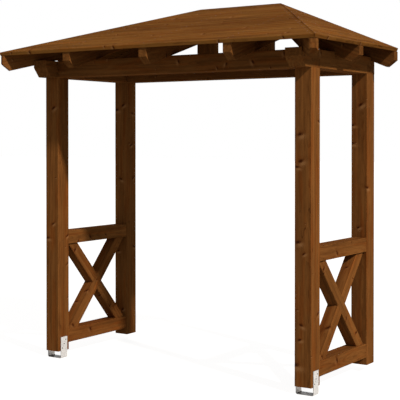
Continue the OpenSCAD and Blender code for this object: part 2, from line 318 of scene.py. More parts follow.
class Graph:
    """Adds nodes to one tree. An input takes a socket, which is linked, or a value, which is set."""

    def __init__(self, tree):
        self.tree = tree

    def node(self, kind, inputs=None, **settings):
        new = self.tree.nodes.new(kind)
        for name, value in settings.items():
            setattr(new, name, value)
        for key, value in (inputs or {}).items():
            if isinstance(value, bpy.types.NodeSocket):
                self.tree.links.new(value, new.inputs[key])
            else:
                new.inputs[key].default_value = value
        return new

    def math(self, operation, *values):
        return self.node("ShaderNodeMath", dict(enumerate(values)), operation=operation).outputs[0]

    plus = partialmethod(math, "ADD")
    minus = partialmethod(math, "SUBTRACT")
    times = partialmethod(math, "MULTIPLY")
    times_plus = partialmethod(math, "MULTIPLY_ADD")
    over = partialmethod(math, "DIVIDE")
    larger = partialmethod(math, "MAXIMUM")

    def total(self, start, *parts):
        """start, plus the value of each (value, share) times its share."""
        for value, share in parts:
            start = self.plus(start, self.times(value, share))
        return start

    def bell(self, value, fall):
        """exp(-fall * value squared): 1 at 0, and down to nothing on both sides."""
        return self.math("EXPONENT", self.times(self.math("POWER", value, 2), -fall))

    def centred(self, value, share):
        """Takes value, which runs from 0 to 1, to -share / 2 .. share / 2."""
        return self.times_plus(value, share, -share / 2)

    def vector(self, operation, *values):
        made = self.node("ShaderNodeVectorMath", dict(enumerate(values)), operation=operation)
        return made.outputs["Value" if operation == "LENGTH" else "Vector"]

    def join(self, x, y, z):
        return self.node("ShaderNodeCombineXYZ", {"X": x, "Y": y, "Z": z}).outputs[0]

    def split(self, vector):
        return self.node("ShaderNodeSeparateXYZ", {"Vector": vector}).outputs

    def split_colour(self, colour):
        return self.node("ShaderNodeSeparateColor", {"Color": colour}).outputs

    def noise(self, vector, detail=2.0, scale=1.0):
        """Noise, 0.5 on average, with scale cells a metre or as many as the vector is stretched by."""
        inputs = {"Vector": vector, "Scale": scale, "Detail": detail, "Roughness": 0.55}
        return self.node("ShaderNodeTexNoise", inputs, noise_dimensions="3D").outputs[0]

    def blend(self, factor, a, b, mode="MIX"):
        """Colour a changed towards b by factor, which the node keeps within 0 and 1. Its colours are
        a Mix node's inputs 6 and 7."""
        inputs = {0: factor, 6: a, 7: b}
        return self.node("ShaderNodeMix", inputs, data_type="RGBA", blend_type=mode).outputs[2]

    def mix_shader(self, factor, a, b):
        return self.node("ShaderNodeMixShader", {0: factor, 1: a.outputs[0], 2: b.outputs[0]})

    def ramp(self, value, low, high, out_low=0.0, out_high=1.0):
        """Takes value from low..high to out_low..out_high with soft ends."""
        inputs = {"Value": value, "From Min": low, "From Max": high,
                  "To Min": out_low, "To Max": out_high}
        return self.node("ShaderNodeMapRange", inputs, interpolation_type="SMOOTHSTEP").outputs[0]


def group(name, numbers, outputs, colours=(), vector="Vector"):
    """A new shader node group. Its inputs are one vector, numbers with their defaults, and colours,
    and its outputs are numbers but for Color. Gives the graph inside, its input sockets and a function
    that links an output."""
    tree = bpy.data.node_groups.new(name, "ShaderNodeTree")
    tree.interface.new_socket(vector, in_out="INPUT", socket_type="NodeSocketVector")
    for label, default in numbers.items():
        socket = tree.interface.new_socket(label, in_out="INPUT", socket_type="NodeSocketFloat")
        socket.default_value = default
    for label in colours:
        tree.interface.new_socket(label, in_out="INPUT", socket_type="NodeSocketColor")
    for label in outputs:
        kind = "NodeSocketColor" if label == "Color" else "NodeSocketFloat"
        tree.interface.new_socket(label, in_out="OUTPUT", socket_type=kind)
    graph = Graph(tree)
    entry = graph.node("NodeGroupInput").outputs
    leave = graph.node("NodeGroupOutput")

    def give(label, socket):
        tree.links.new(socket, leave.inputs[label])

    return graph, entry, give


def use_group(graph, name, inputs):
    """Places a node group in a tree and gives its outputs."""
    return graph.node("ShaderNodeGroup", inputs, node_tree=bpy.data.node_groups[name]).outputs


KNOT_MASKS = ("Core", "Rim", "Swirl", "Halo")
FINISH = ("Color", "Roughness", "Height")


def knot_group():
    """One knot: a rod that runs out from the pith in the direction Turn, is at Height where it comes
    out of a face, and rises by Lean for each metre outwards and by 0.9 of it for each metre sideways.
    q is the distance from its axis over its radius, which noise makes ragged. Core is 1 inside, Rim
    peaks at q = 1, Swirl falls off as exp(-q squared / 5), and Halo is a soft spot below and beside."""
    face, sideways = 0.055, 0.9  # from pith to face, and the sideways share of the lean
    cells = 150  # of the noise that makes it ragged, in a metre
    wide, tall = 1.25, 0.75  # half the width and half the height, in radii
    beside_off, below_off = 0.9, 2.3  # where the halo's middle lies, in half widths and half heights
    bud = 0.012  # from the pith to where the knot is whole
    g, at, give = group("canopy_knot", {"Height": 0, "Turn": 0, "Radius": 0.01, "Lean": 0.3},
                        KNOT_MASKS)
    x, y, z = g.split(at["Vector"])
    cos, sin = g.math("COSINE", at["Turn"]), g.math("SINE", at["Turn"])
    out = g.plus(g.times(x, cos), g.times(y, sin))
    across = g.minus(g.times(y, cos), g.times(x, sin))
    lean = g.total(g.times(g.minus(out, face), at["Lean"]), (across, g.times(at["Lean"], sideways)))
    rise = g.minus(g.minus(z, at["Height"]), lean)
    radius = g.times(at["Radius"], g.plus(g.noise(at["Vector"], 1.0, cells), 0.5))
    beside = g.over(across, g.times(radius, wide))
    above = g.over(rise, g.times(radius, tall))
    q = g.vector("LENGTH", g.join(beside, above, 0))
    ahead = g.ramp(out, 0.0, bud)
    core = g.times(g.ramp(q, 0.5, 1.05, 1.0, 0.0), ahead)
    off = g.vector("LENGTH", g.join(g.minus(beside, beside_off), g.plus(above, below_off), 0))
    give("Core", core)
    give("Rim", g.times(g.bell(g.minus(q, 1.0), 10.0), ahead))
    give("Swirl", g.times(g.bell(q, 0.2), ahead))
    give("Halo", g.times(g.times(g.bell(off, 0.38), ahead), g.minus(1.0, core)))


def whorl_group():
    """Knots by chance: the grain's length is cut into cells of Spacing, which start at a share of a
    cell that depends on Seed, and each cell has one knot. White noise of the cell's number gives its
    height, in the cell's middle six tenths, its lean from -0.2 to 0.5, its turn, and its radius, from a
    quarter of Radius to the whole."""
    g, at, give = group("canopy_whorl", {"Seed": 0, "Spacing": 0.4, "Radius": 0.01}, KNOT_MASKS)
    z = g.split(at["Vector"])[2]
    offset = g.math("FRACT", g.times(at["Seed"], 0.618))
    cell = g.math("FLOOR", g.plus(g.over(z, at["Spacing"]), offset))
    chance = g.node("ShaderNodeTexWhiteNoise", {"Vector": g.join(cell, at["Seed"], 0)},
                    noise_dimensions="2D")
    first, second, third = g.split_colour(chance.outputs["Color"])
    middle = g.minus(g.plus(cell, g.times_plus(first, 0.6, 0.2)), offset)
    knot = use_group(g, "canopy_knot", {
        "Vector": at["Vector"],
        "Height": g.times(middle, at["Spacing"]),
        "Turn": g.times(second, 2 * math.pi),
        "Radius": g.times(at["Radius"], g.times_plus(third, 0.75, 0.25)),
        "Lean": g.times_plus(first, 0.7, -0.2),
    })
    for name in KNOT_MASKS:
        give(name, knot[name])


def faces_group():
    """From a normal in the timber's own frame, whose Z is the grain: End is 1 on sawn end faces and
    Edge is 1 on the eased edges, whose normals lie between the two side directions. Right is 1 on the
    face that looks along +X, the side that the lamp lights, where some timbers are painted lighter. Top
    is 1 on faces that look up, where the finishes paint shade, and 0 on level and steep ones, from the
    upright part of the normal. Each changes between two cosines."""
    g, at, give = group("canopy_faces", {"Upright": 0}, ("End", "Edge", "Right", "Top"),
                        vector="Normal")
    give("Right", g.ramp(g.split(at["Normal"])[0], 0.6, 0.8))
    give("Top", g.ramp(at["Upright"], 0.25, 0.85))
    x, y, z = g.split(g.vector("ABSOLUTE", at["Normal"]))
    end = g.ramp(z, 0.55, 0.75)
    edge = g.ramp(g.larger(x, y), 0.78, 0.9, 1.0, 0.0)
    give("End", end)
    give("Edge", g.times(edge, g.minus(1.0, end)))


# Noise in the wood: cells a metre across and along the grain, detail, and a shift sideways that keeps
# one from matching another
SPRUCE_NOISE = {
    "ripple": (18, 2.2, 2.0, 0.0), "fibre": (520, 7, 3.0, 0.0),
    "streaks": (60, 1.4, 3.0, 0.0), "patches": (13, 2.6, 2.0, 3.7), "mottles": (85, 15, 2.0, 9.1),
    "warmth": (26, 3.2, 2.0, 6.3), "checks": (21, 0.7, 1.0, 12.9), "dry places": (6, 1.3, 1.0, 15.3),
}
PITH_DRIFT = 0.05  # how far the pith wanders along the grain
RING_RIPPLE = 0.014  # how far the rings waver
RING_PUSH = 0.012  # how far a knot pushes the rings aside
CHECK_WIDTH = 0.0045  # of a drying check, in the noise's own values
# The tone's shares of streaks, patches and mottles
TINTS = {"streaks": 1.05, "patches": 0.85, "mottles": 0.65}
# The tone's shares of ring bands, fibres, late wood, eased edges, grain round knots and sawn ends
BANDS, FIBRES, LATE_WOOD, EASED, ROUND_KNOTS, SAWN_ENDS = 1.15, 0.3, -0.4, 0.2, -0.3, -0.09
# How far the knots' colour covers the glaze on faces that look up, which is painted shade, in a
# knot's core, on its rim and in drying checks, and how far the halo's own colour covers it
TOP_SHADE, CORE_COVER, RIM_COVER, CHECK_COVER, HALO_COVER = 0.24, 0.88, 0.55, 0.6, 0.75
WARM_TINT = (1.0, 0.78, 0.62, 1)  # what full warmth multiplies the glaze by


def spruce_group():
    """Glazed spruce. Rings are cylinders about a pith that wanders along the grain, pushed aside by
    the knots; each ring darkens outwards as the cube of its fraction, and bands of about three rings
    take the glaze lighter or darker. Streaks, patches, mottles and fibres are noise stretched along the
    grain, and drying checks are where slow noise crosses its middle value, in dry places alone. Warmth
    turns the glaze reddish. Late wood, fibres and halos stand up in the bump's height, and checks and
    knots' rims lie low. Roughness is 0.74, up to 0.2 more on fibres and 0.06 less on late wood."""
    numbers = {"Seed": 0, "Pith X": 0.02, "Pith Y": 0.03, "Ring width": 0.004, "Tone": 0.5,
               "Contrast": 1, "Red": 0, "Pale": 1, "End": 0, "Edge": 0, "Top": 0,
               **dict.fromkeys(KNOT_MASKS, 0)}
    g, at, give = group("canopy_spruce", numbers, FINISH,
                        ("Glaze", "Dark glaze", "Knot colour", "Halo colour"))
    x, y, z = g.split(at["Vector"])
    far = g.times(at["Seed"], 7.31)
    wander = g.node("ShaderNodeTexNoise", {
        "Vector": g.join(far, 0.5, g.times(z, 1.6)), "Scale": 1.0, "Detail": 1.0},
        noise_dimensions="3D")
    drift_x, drift_y, _ = g.split_colour(wander.outputs["Color"])
    px = g.plus(g.minus(x, at["Pith X"]), g.centred(drift_x, PITH_DRIFT))
    py = g.plus(g.minus(y, at["Pith Y"]), g.centred(drift_y, PITH_DRIFT))
    reach = g.vector("LENGTH", g.join(px, py, 0))

    def stretched(name):
        across, along, detail, shift = SPRUCE_NOISE[name]
        shifted = g.join(g.plus(x, far), g.plus(y, shift), z)
        return g.noise(g.vector("MULTIPLY", shifted, (across, across, along)), detail)

    ripple = g.centred(stretched("ripple"), RING_RIPPLE)
    rings = g.over(g.total(g.plus(reach, ripple), (at["Swirl"], RING_PUSH)), at["Ring width"])
    late = g.math("POWER", g.math("FRACT", rings), 3)
    band = g.noise(g.join(g.times(rings, 0.33), far, g.times(z, 0.4)), 1.0)
    fibre = stretched("fibre")

    tone = g.plus(at["Tone"], g.centred(band, BANDS))
    for name, share in TINTS.items():
        tone = g.plus(tone, g.centred(stretched(name), share))
    tone = g.plus(tone, g.centred(fibre, FIBRES))
    tone = g.plus(tone, g.times_plus(late, LATE_WOOD, -LATE_WOOD / 4))
    tone = g.times_plus(g.minus(tone, at["Tone"]), at["Contrast"], at["Tone"])
    tone = g.total(tone, (at["Edge"], EASED), (at["Swirl"], ROUND_KNOTS), (at["End"], SAWN_ENDS))
    colour = g.blend(tone, at["Dark glaze"], at["Glaze"])
    # Painted shade: faces that look up are darkened towards the knots' colour
    colour = g.blend(g.times(at["Top"], TOP_SHADE), colour, at["Knot colour"])

    warmth = g.plus(g.ramp(stretched("warmth"), 0.45, 0.68, 0.0, 0.75), at["Red"])
    colour = g.blend(g.total(warmth, (at["Swirl"], 0.6)), colour, WARM_TINT, "MULTIPLY")
    check = g.math("ABSOLUTE", g.minus(stretched("checks"), 0.5))
    check = g.times(g.ramp(check, 0.0, CHECK_WIDTH, 1.0, 0.0),
                    g.ramp(stretched("dry places"), 0.54, 0.62))
    halo = g.times(at["Halo"], at["Pale"])
    colour = g.blend(g.times(halo, HALO_COVER), colour, at["Halo colour"])
    dark = g.larger(g.times(at["Core"], CORE_COVER), g.times(at["Rim"], RIM_COVER))
    dark = g.larger(dark, g.times(check, CHECK_COVER))
    give("Color", g.blend(dark, colour, at["Knot colour"]))

    give("Roughness", g.minus(g.times_plus(fibre, 0.2, 0.74), g.times(late, 0.06)))
    give("Height", g.total(g.times(late, 0.35), (fibre, 0.5), (check, -1.5), (halo, 1.2),
                           (at["Rim"], -0.8)))


def zinc_group():
    """Hot-dip zinc: Voronoi crystals of two greys, six tenths of the mix, with soft noise for weather,
    the other four. Sheared is 1 on the strip's cut edges, which show the steel's dark colour, and the
    second mask is 1 on upper faces, where that dark colour is painted shade. Roughness falls from 0.52
    to 0.36 as the mix goes from dull to bright."""
    g, at, give = group("canopy_zinc", {"Crystal": 0.009, "Sheared": 0, "Painted top shade": 0}, FINISH,
                        ("Zinc", "Dull zinc", "Bare steel and shade"))
    size = g.over(1.0, at["Crystal"])
    crystals = g.node("ShaderNodeTexVoronoi", {"Vector": at["Vector"], "Scale": size}, feature="F1")
    shade = g.split(crystals.outputs["Color"])[0]
    weather = g.noise(at["Vector"], 3.0, 30)
    mixed = g.total(g.times(shade, 0.6), (weather, 0.4))
    colour = g.blend(mixed, at["Dull zinc"], at["Zinc"])
    # Steel's dark colour on the cut edges, and painted shade on the upper faces
    bare_and_shade = g.times_plus(at["Painted top shade"], g.ramp(weather, 0.25, 0.6, 0.5, 0.85),
                        g.times(at["Sheared"], g.ramp(weather, 0.2, 0.7, 0.55, 0.9)))
    give("Color", g.blend(bare_and_shade, colour, at["Bare steel and shade"]))
    give("Roughness", g.times_plus(mixed, -0.16, 0.52))
    give("Height", g.times(mixed, 0.5))


# ---- Materials --------------------

def seen_directly(graph):
    """Mask: 1 for what is seen straight, in a mirror or through glass, 0 for what only gives light."""
    path = graph.node("ShaderNodeLightPath").outputs
    return graph.larger(path["Is Camera Ray"],
                        graph.larger(path["Is Glossy Ray"], path["Is Transmission Ray"]))


def new_material(name):
    """An empty node material and its graph."""
    material = bpy.data.materials.new(name)
    material.use_nodes = True
    material.node_tree.nodes.clear()
    return material, Graph(material.node_tree)


def coat(graph, finish, relief, depth, **fixed):
    """Wires a group's colour, roughness and height to a Principled shader and the output. relief is
    the bump's strength, depth its full height, and fixed sets the shader's own sockets."""
    bump = graph.node("ShaderNodeBump", {
        "Strength": relief, "Distance": depth, "Height": finish["Height"]})
    shader = graph.node("ShaderNodeBsdfPrincipled", {
        "Base Color": finish["Color"], "Roughness": finish["Roughness"], "Normal": bump.outputs[0],
        **fixed})
    graph.node("ShaderNodeOutputMaterial", {"Surface": shader.outputs[0]})


def glazed(graph, settings, place, seed, knots, chance=1.0, **extra):
    """Coats a material with glazed spruce. place is the vector in the timber's own frame, knots is a
    list of (height, turn in degrees, radius), and more of them come by chance, whose radii are
    multiplied by chance. extra sets or links further inputs of the spruce group."""
    parts = [use_group(graph, "canopy_knot", {
        "Vector": place, "Height": height, "Turn": math.radians(turn), "Radius": radius,
        "Lean": PLACED_LEANS[number % len(PLACED_LEANS)]})
        for number, (height, turn, radius) in enumerate(knots)]
    for count, (spacing, radius) in enumerate(WHORLS):
        parts.append(use_group(graph, "canopy_whorl", {
            "Vector": place, "Seed": seed + WHORL_SEED * count,
            "Spacing": settings.knot_spacing * spacing,
            "Radius": settings.knot_radius * radius * chance}))
    joined = {}
    for name in KNOT_MASKS:
        joined[name] = parts[0][name]
        for part in parts[1:]:
            joined[name] = graph.larger(joined[name], part[name])
    inputs = {
        "Vector": place, "Seed": seed,
        "Pith X": PITH_OFF * math.sin(2.4 * seed), "Pith Y": PITH_OFF * math.cos(1.7 * seed),
        "Ring width": settings.ring_width, "Glaze": (*settings.glaze, 1),
        "Dark glaze": (*settings.glaze_dark, 1), "Knot colour": (*settings.knot_colour, 1),
        "Halo colour": (*settings.halo_colour, 1), **joined, **extra,
    }
    coat(graph, use_group(graph, "canopy_spruce", inputs), relief=0.4, depth=0.0012,
         **{"Specular IOR Level": settings.gloss})


def middle_of(node):
    """Middle of a node's box."""
    low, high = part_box(node)
    return (low + high) / 2


def grain_axis(node):
    """Direction of a timber's grain: the one that its faces' normals avoid, weighed by area. A
    second pass keeps only faces nearly square to the first answer, which drops ends and seats."""
    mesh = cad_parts[node].data
    normals = np.empty(len(mesh.polygons) * 3)
    areas = np.empty(len(mesh.polygons))
    mesh.polygons.foreach_get("normal", normals)
    mesh.polygons.foreach_get("area", areas)
    normals = normals.reshape(-1, 3)
    axis = np.linalg.eigh((normals * areas[:, None]).T @ normals)[1][:, 0]
    side = np.abs(normals @ axis) < SIDE_COSINE
    axis = np.linalg.eigh((normals[side] * areas[side, None]).T @ normals[side])[1][:, 0]
    return Vector(axis * (1 if axis[np.argmax(np.abs(axis))] > 0 else -1))


def timber_material(node, seed, settings):
    """Spruce whose pattern lies in the timber's own frame: origin at its middle, Z along its grain."""
    material, graph = new_material(f"glazed_{node}")
    axis = grain_axis(node)
    turn = Matrix.Identity(3)
    if axis.z < UPRIGHT_COSINE:
        across = axis.cross(UP).normalized()
        turn = Matrix((across, across.cross(axis) * -1, axis))
    spin = turn.to_euler()
    source = graph.node("ShaderNodeTexCoord").outputs
    place = graph.node("ShaderNodeMapping", {
        "Vector": source["Object"], "Location": -(turn @ middle_of(node)), "Rotation": spin},
        vector_type="POINT")
    normal = graph.node("ShaderNodeMapping", {
        "Vector": source["Normal"], "Rotation": spin}, vector_type="VECTOR")
    upright = graph.split(source["Normal"])[2]
    faces = use_group(graph, "canopy_faces", {"Normal": normal.outputs[0], "Upright": upright})
    # The third figure, where given, is a painted highlight on the right-hand face, which the lamp
    # lights
    light, red, *right = WOOD_TONES.get(node, (0, 0))
    tone = MIDDLE + TIMBER_SPREAD * math.sin(5.1 * seed) + light
    slim = "rail" in node or "brace" in node
    glazed(graph, settings, place.outputs[0], seed, FEATURE_KNOTS.get(node, ()),
           chance=BESIDE_PLACED if node in FEATURE_KNOTS else 1.0, Pale=SLIM_PALE if slim else 1.0,
           End=faces["End"], Edge=faces["Edge"], Top=faces["Top"], Red=red,
           Tone=graph.times_plus(faces["Right"], right[0], tone) if right else tone)
    return material


def board_material(settings):
    """Spruce that reads the boards' own frame from their grain attribute: across, up and along, each
    board moved on by a length of its own."""
    material, graph = new_material("glazed_boards")
    place = graph.node("ShaderNodeAttribute", attribute_name="grain").outputs["Vector"]
    tone = graph.node("ShaderNodeAttribute", attribute_name="tone").outputs["Fac"]
    glazed(graph, settings, place, BOARD_SEED, EAVE_KNOTS, Tone=tone, Contrast=0.68, Red=0.06,
           Glaze=(*settings.glaze_boards, 1), **{"Dark glaze": (*settings.dark_boards, 1)})
    return material


def metal_material(name, settings, bright, dull, metallic, worn_and_shaded):
    """Zinc-coated or glazed-over steel of two shades, on Object coordinates. For the shoes, the faces
    across the strip, which look along Y, show steel, and the upper faces take the steel's dark colour
    as painted shade."""
    material, graph = new_material(name)
    source = graph.node("ShaderNodeTexCoord").outputs
    x, y, z = graph.split(source["Normal"])
    faces = use_group(graph, "canopy_faces", {"Normal": graph.join(x, z, y), "Upright": z})
    # Painted shade on the upper faces, and steel on the cut edges
    wear_and_shade = {"Sheared": faces["End"], "Painted top shade": faces["Top"]} if worn_and_shaded else {}
    zinc = use_group(graph, "canopy_zinc", {
        "Vector": source["Object"], "Crystal": settings.crystal, "Zinc": (*bright, 1),
        "Dull zinc": (*dull, 1), "Bare steel and shade": (*settings.bare_and_shade, 1), **wear_and_shade})
    coat(graph, zinc, relief=0.15, depth=0.0005, Metallic=metallic)
    return material


def stain_and_shade_steel(context):
    """The finish that screw and nail heads share: darkened under the glaze on the nails, painted shade
    in the shoes' holes on the screws. Made at its first use.
    """
    settings = context.scene.canopy_metal
    made = bpy.data.materials.get("stain_and_shade_steel")
    return made or metal_material("stain_and_shade_steel", settings, settings.stain_and_shade, settings.dark_stain_and_shade,
                                  metallic=0.3, worn_and_shaded=False)


def dress(obj, material):
    """Leaves material as the object's only one."""
    obj.data.materials.clear()
    obj.data.materials.append(material)


# ---- Meshes --------------------

def add_object(name, data):
    """A new object in the scene."""
    made = bpy.data.objects.new(name, data)
    bpy.context.scene.collection.objects.link(made)
    return made


def add_mesh(name, points, faces, material):
    """A new mesh object at the origin, with its place in its mesh."""
    mesh = bpy.data.meshes.new(name)
    mesh.from_pydata(points, [], faces)
    mesh.update()
    made = add_object(name, mesh)
    dress(made, material)
    return made


def mesh_piece(name, parts, material):
    """A mesh object that rides on the frame and takes its finish from a slot. It is made of (points,
    faces) parts, and each part's faces count on from the points of the parts before it."""
    points, faces = [], []
    for part, part_faces in parts:
        faces += [[len(points) + index for index in face] for face in part_faces]
        points += part.tolist()
    piece = add_mesh(name, points, faces, material)
    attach(piece, "root")
    return piece


class Slope:
    """One slope of the roof. A point is given by its level distance from the eave's upper corner, its
    distance along the eave and its height in the boards, square to the slope: origin + in * level +
    along * s + up * (level * pitch - (thick - height) / cos), where thick is the boards' thickness."""

    def __init__(self, origin, inwards, along, run, pitch, deck, start, end):
        self.origin, self.inwards, self.along = (np.array(v, float) for v in (origin, inwards, along))
        self.run, self.pitch = run, pitch
        self.cos = 1 / math.hypot(1, pitch)
        self.thick = deck * self.cos
        self.start, self.end = start, end
        self.flipped = np.cross(self.inwards, self.along)[2] < 0

    def level(self, up_slope, height):
        """Level distance of a point in a section square to the slope, cut plumb at the run's end."""
        level = up_slope * self.cos + (self.thick - height) * self.pitch * self.cos
        return np.minimum(level, self.run)

    def points(self, level, s, height):
        level, s, height = np.broadcast_arrays(level, s, height)
        rise = level * self.pitch - (self.thick - height) / self.cos
        return (self.origin + level[..., None] * self.inwards + s[..., None] * self.along
                + rise[..., None] * np.array((0.0, 0.0, 1.0)))


def pitch_of(height, run, deck):
    """Pitch of a slope whose box is height tall: height = run * pitch + deck / (1 + pitch squared),
    because the eave's edge is cut square to the slope. Solved by putting the answer back in until it
    no longer changes."""
    pitch = height / run
    for _ in range(12):
        pitch = (height - deck / (1 + pitch ** 2)) / run
    return pitch


def roof_slopes(deck):
    """The three slopes, worked out from the boxes of the frame's roof sheets."""
    low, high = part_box("roof_front")
    side_low, side_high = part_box("roof_right")
    depth = high.y - low.y
    side_run = side_high.x - side_low.x
    half = high.x
    narrowing = side_run / depth
    front_pitch = pitch_of(high.z - low.z, depth, deck)
    eave_top = high.z - depth * front_pitch
    front = Slope((0, low.y, eave_top), (0, 1, 0), (1, 0, 0), depth, front_pitch, deck,
                  lambda level: -(half - level * narrowing), lambda level: half - level * narrowing)
    sides = [Slope((side * half, high.y, eave_top), (-side, 0, 0), (0, -1, 0), side_run,
                   (high.z - eave_top) / side_run, deck,
                   lambda level: 0 * level, lambda level: depth - level / narrowing)
             for side in (-1, 1)]
    return {"front": front, "left": sides[0], "right": sides[1]}


def around(sides):
    """As many angles as there are sides, evenly round a turn."""
    return np.arange(sides) * 2 * math.pi / sides


def tube_faces(sides, rings):
    """Faces of a closed tube whose points are rings of as many points as it has sides: a band of quads
    joins each ring to the next, and a face closes the first ring and the last."""
    ring = np.arange(sides)
    quads = np.stack([ring, np.roll(ring, -1), np.roll(ring, -1) + sides, ring + sides], 1)
    quads = (quads[None] + sides * np.arange(rings - 1)[:, None, None]).reshape(-1, 4)
    return quads.tolist() + [ring[::-1].tolist(), (ring + sides * (rings - 1)).tolist()]


def board_edges(slope, cover):
    """Distances up the slope at which the boards start, and where the last one ends. A rest narrower
    than a quarter of a board is given to the last board."""
    length = slope.run / slope.cos
    return np.append(np.arange(0, length - cover / 4, cover), length)


def board_section(width, thick, settings, first, last):
    """Outline of a board as (distance up the slope, height) pairs: a rectangle with bevelled corners,
    a tongue on its upper edge and a groove in its lower one. The eave's board has no groove, the
    ridge's no tongue."""
    gap, bevel, tongue = settings.joint_gap / 2, settings.groove, settings.tongue
    low, high = (0 if first else gap), (width if last else width - gap)
    under, over = TONGUE_SHARES[0] * thick, TONGUE_SHARES[1] * thick
    section = [(low + bevel, 0), (high - bevel, 0), (high, bevel)]
    if not last:
        section += [(high, under), (high + tongue, under), (high + tongue, over), (high, over)]
    section += [(high, thick - bevel), (high - bevel, thick)]
    section += [(low + bevel, thick), (low, thick - bevel)]
    if not first:
        deep = low + tongue + 2 * gap + SLACK
        roof, base = over + SLACK, under - SLACK
        section += [(low, roof), (deep, roof), (deep, base), (low, base)]
    return np.array(section + [(low, bevel)])


def roof_boards(name, slope, settings, material):
    """Boards of one slope: each section is carried from the slope's start line to its end line, so
    that its ends lie in the plumb planes of the hips or the wall."""
    edges = board_edges(slope, settings.cover)
    parts, grain, tone = [], [], []
    for number, (edge, width) in enumerate(zip(edges[:-1], np.diff(edges))):
        section = board_section(width, slope.thick, settings, number == 0, number == len(edges) - 2)
        height = section[:, 1]
        level = slope.level(edge + section[:, 0], height)
        start = slope.start(level) + MITRE
        end = np.maximum(slope.end(level) - MITRE, start)
        soaked = np.minimum(SOAKED, (end - start) / 4)
        along = np.stack([start, start + soaked, (start + end) / 2, end - soaked, end])
        faces = [face if slope.flipped else face[::-1] for face in tube_faces(len(section), len(along))]
        parts.append((slope.points(level, along, height).reshape(-1, 3), faces))
        own = PATTERN_STEP * number + PATTERN_START[name]
        across = np.broadcast_to(section[:, 0] - width / 2 + PITH_SPREAD * math.sin(own), along.shape)
        up = np.broadcast_to(height, along.shape)
        grain.append(np.stack([across, up, along + own], -1).reshape(-1, 3))
        # Painted highlight on the front eave's square edge
        at_eave = (section[:, 0] == 0) & (number == 0) & (name == "front")
        ends = np.array((END_TONE, 0, 0, 0, END_TONE))[:, None]
        tone.append((MIDDLE + BOARD_SPREAD * math.sin(4.3 * own) + EAVE_HIGHLIGHT * at_eave + ends).ravel())
    piece = mesh_piece(f"boards_{name}", parts, material)
    attribute = piece.data.attributes.new("grain", "FLOAT_VECTOR", "POINT")
    attribute.data.foreach_set("vector", np.concatenate(grain).astype(np.float32).ravel())
    attribute = piece.data.attributes.new("tone", "FLOAT", "POINT")
    attribute.data.foreach_set("value", np.concatenate(tone).astype(np.float32))
    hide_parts(f"roof_{name}")
    return piece


def head(shares, reach, height, foot, sides):
    """Points and faces of a nail's or screw's head: a ring for each share of the radius, with its reach
    from the axis and its height at each angle, and a closed underside at the height foot."""
    angle = around(sides)
    rings = np.stack(np.broadcast_arrays(reach * np.cos(angle), reach * np.sin(angle), height), -1)
    base = rings[:1] * (1, 1, 0) + (0, 0, foot)
    return np.concatenate([base, rings]).reshape(-1, 3), tube_faces(sides, len(shares) + 1)


def nail_head(radius, sides=12):
    """A shallow dome: at a share of the radius its height is radius * (0.02 + 0.16 * (1 - share
    squared)). Its underside lies 0.3 radius below the board's face."""
    shares = np.array((1.0, 0.8, 0.45))[:, None]
    rise = radius * (0.02 + 0.16 * (1 - shares ** 2))
    return head(shares, shares * radius, rise, -0.3 * radius, sides)


def screw_head(radius, rise, sides=20):
    """A round screw head with a six-lobed drive: at a share of the radius its height is rise times the
    square root of (1 - 0.9 share squared), and 0.35 of that in the pit at the middle, whose edge waves
    six times as it turns."""
    shares = np.array((1.0, 0.92, 0.75, 0.52, 0.46, 0.05))[:, None]
    brim = 0.52  # share of the radius at which the drive's pit begins
    reach = shares * radius * np.where(shares <= brim, 1 + 0.14 * np.cos(6 * around(sides)), 1.0)
    height = rise * np.sqrt(1 - 0.9 * shares ** 2) * np.where(shares < brim, 0.35, 1.0)
    return head(shares, reach, height, 0, sides)


def nail_places(slope, edges, lines):
    """Two nails in each board on every rafter line, and beside the mitres at the boards' ends."""
    places = []
    for edge, width in zip(edges[:-1], np.diff(edges)):
        for share in (0.25, 0.75):
            level = slope.level(edge + share * width, slope.thick)
            first, last = slope.start(level) + NAIL_INSET, slope.end(level) - NAIL_INSET
            places += [(level, s) for s in (*lines, first, last) if first <= s <= last]
    return np.array(places)


# ---- Operators --------------------

class CANOPY_OT_groups(bpy.types.Operator):
    """Builds the shader node groups that the finishes share"""

    bl_idname = "canopy.groups"
    bl_label = "Node groups"

    def execute(self, context):
        for build in (knot_group, whorl_group, faces_group, spruce_group, zinc_group):
            build()
        return {"FINISHED"}


class CANOPY_OT_timbers(bpy.types.Operator):
    """Gives every timber of the frame its own glazed spruce"""

    bl_idname = "canopy.timbers"
    bl_label = "Timbers"

    def execute(self, context):
        settings = context.scene.canopy_timber
        for seed, node in enumerate(TIMBER_NODES, 1):
            dress(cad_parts[node], timber_material(node, seed, settings))
        return {"FINISHED"}


class CANOPY_OT_roof_boards(bpy.types.Operator):
    """Lays tongued and grooved boards over the three slopes"""

    bl_idname = "canopy.roof_boards"
    bl_label = "Roof boards"

    def execute(self, context):
        settings = context.scene.canopy_roof
        material = board_material(context.scene.canopy_timber)
        for name, slope in roof_slopes(settings.deck).items():
            roof_boards(name, slope, settings, material)
        return {"FINISHED"}


